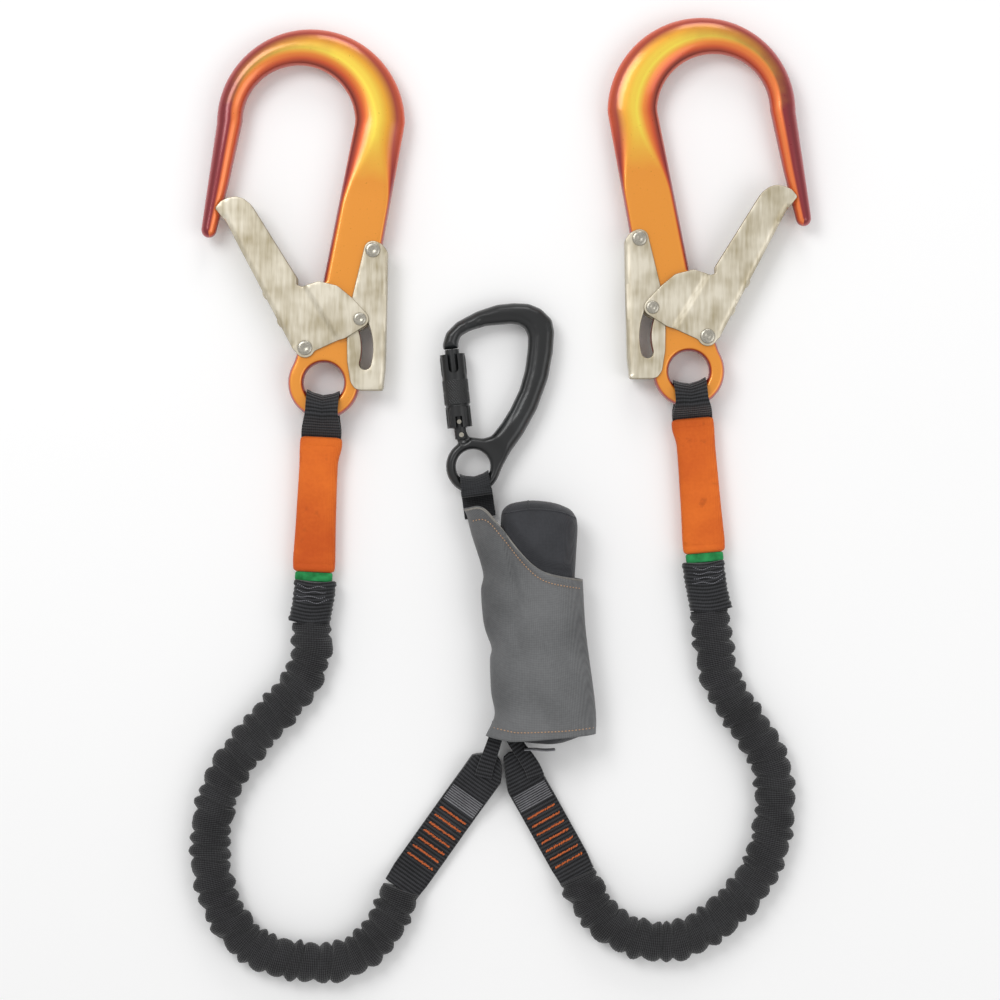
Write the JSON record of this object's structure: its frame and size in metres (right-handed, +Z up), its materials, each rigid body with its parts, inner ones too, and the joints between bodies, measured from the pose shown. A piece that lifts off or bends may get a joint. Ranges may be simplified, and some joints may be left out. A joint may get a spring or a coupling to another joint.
{
  "type": "shock absorbing lanyard",
  "caption": "Twin-leg fall-arrest lanyard: scaffold hooks with steel gates on elastic legs, an energy absorber in a cloth pouch, and a twist-lock carabiner.",
  "frame": {"origin": "middle of the lanyard's outline as it lies flat, on the surface it lies on, leaving out the two elastic legs", "axes": "+X across the lanyard towards the right-hand hook, +Y from the legs towards the hooks' crowns, +Z up out of the surface it lies on"},
  "size_m": [0.3966, 0.6164, 0.034],
  "materials": {
    "hook_alloy": "orange anodised, satin",
    "sheet_steel": "zinc nickel plated, satin",
    "rivet_steel": "plated, turned heads",
    "spring_steel": "drawn wire",
    "black_webbing": "ribbed polyester webbing",
    "handle_fabric": "coated orange fabric",
    "label_fabric": "woven label",
    "elastic_webbing": "pleated elastic tubular webbing",
    "orange_thread": "bar tack thread",
    "black_alloy": "black anodised",
    "pack_cloth": "matt coated cloth",
    "tear_webbing": "undyed polyester webbing",
    "pouch_cloth": "grey woven polyester"
  },
  "bodies": {
    "root": {"absorber_cover": "pack_cloth", "tear_webbing": "tear_webbing", "pouch_sleeve": "pouch_cloth", "lower_loop": "black_webbing", "end_tag": "pouch_cloth", "carabiner_strap": "black_webbing", "leg_strap_left": "black_webbing", "bar_tacks_left": "orange_thread", "elastic_leg_left": "elastic_webbing", "cuff_left": "black_webbing", "label_left": "label_fabric", "handle_left": "handle_fabric", "hook_strap_left": "black_webbing", "leg_strap_right": "black_webbing", "bar_tacks_right": "orange_thread", "elastic_leg_right": "elastic_webbing", "cuff_right": "black_webbing", "label_right": "label_fabric", "handle_right": "handle_fabric", "hook_strap_right": "black_webbing"},
    "hook_left": {"hook_body_left": "hook_alloy", "gate_rivet_left": "rivet_steel", "lever_rivet_left": "rivet_steel", "gate_spring_left": "spring_steel", "lever_spring_left": "spring_steel"},
    "gate_left": {"gate_left": "sheet_steel", "lock_pin_left": "rivet_steel"},
    "lever_left": {"lever_left": "sheet_steel"},
    "hook_right": {"hook_body_right": "hook_alloy", "gate_rivet_right": "rivet_steel", "lever_rivet_right": "rivet_steel", "gate_spring_right": "spring_steel", "lever_spring_right": "spring_steel"},
    "gate_right": {"gate_right": "sheet_steel", "lock_pin_right": "rivet_steel"},
    "lever_right": {"lever_right": "sheet_steel"},
    "carabiner": {"carabiner_frame": "black_alloy", "gate_pin": "rivet_steel"},
    "carabiner_gate": {"carabiner_gate": "black_alloy", "guide_pin": "rivet_steel", "gate_plunger": "rivet_steel", "plunger_spring": "spring_steel"},
    "spring_seat": {"spring_seat": "rivet_steel", "sleeve_spring": "spring_steel"},
    "twist_sleeve": {"twist_sleeve": "black_alloy"}
  },
  "joints": [
    {"name": "hook_swing_left", "type": "hinge", "parent": "root", "child": "hook_left", "pos_m": [-0.11707, 0.02903, 0.0108], "axis": [0.9985, -0.0541, 0], "range_deg": [0, 90]},
    {"name": "gate_open_left", "type": "hinge", "parent": "hook_left", "child": "gate_left", "pos_m": [-0.1278, 0.069, 0.0108], "axis": [0, 0, -1], "range_deg": [0, 40], "stiffness_Nm_per_rad": 0.25, "springref_deg": -24.98},
    {"name": "lever_squeeze_left", "type": "hinge", "parent": "hook_left", "child": "lever_left", "pos_m": [-0.0845, 0.1313, 0.0108], "axis": [0, 0, -1], "range_deg": [0, 2]},
    {"name": "hook_swing_right", "type": "hinge", "parent": "root", "child": "hook_right", "pos_m": [0.11866, 0.03647, 0.0108], "axis": [0.9962, 0.0872, 0], "range_deg": [0, 90]},
    {"name": "gate_open_right", "type": "hinge", "parent": "hook_right", "child": "gate_right", "pos_m": [0.1288, 0.0764, 0.0108], "axis": [0, 0, 1], "range_deg": [0, 40], "stiffness_Nm_per_rad": 0.25, "springref_deg": -24.98},
    {"name": "lever_squeeze_right", "type": "hinge", "parent": "hook_right", "child": "lever_right", "pos_m": [0.0855, 0.1387, 0.0108], "axis": [0, 0, 1], "range_deg": [0, 2]},
    {"name": "carabiner_swing", "type": "hinge", "parent": "root", "child": "carabiner", "pos_m": [-0.01872, -0.02056, 0.009], "axis": [0.9903, 0.1392, 0], "range_deg": [0, 90]},
    {"name": "carabiner_gate_open", "type": "hinge", "parent": "carabiner", "child": "carabiner_gate", "pos_m": [-0.0281, 0.0137, 0.009], "axis": [0, 0, -1], "range_deg": [0, 22], "stiffness_Nm_per_rad": 0.05, "springref_deg": -30.02},
    {"name": "sleeve_slide", "type": "slide", "parent": "carabiner_gate", "child": "spring_seat", "axis": [-0.1045, 0.9945, 0], "range_m": [-0.003, 0], "stiffness_N_per_m": 200, "springref_m": 0.003},
    {"name": "sleeve_twist", "type": "hinge", "parent": "spring_seat", "child": "twist_sleeve", "pos_m": [-0.0289, 0.0159, 0.009], "axis": [-0.1045, 0.9945, 0], "range_deg": [0, 90], "stiffness_Nm_per_rad": 0.02, "springref_deg": -20}
  ],
  "couplings": [
    {"joint": "lever_squeeze_left", "follows": "gate_open_left", "ratio": 0.05},
    {"joint": "lever_squeeze_right", "follows": "gate_open_right", "ratio": 0.05}
  ]
}
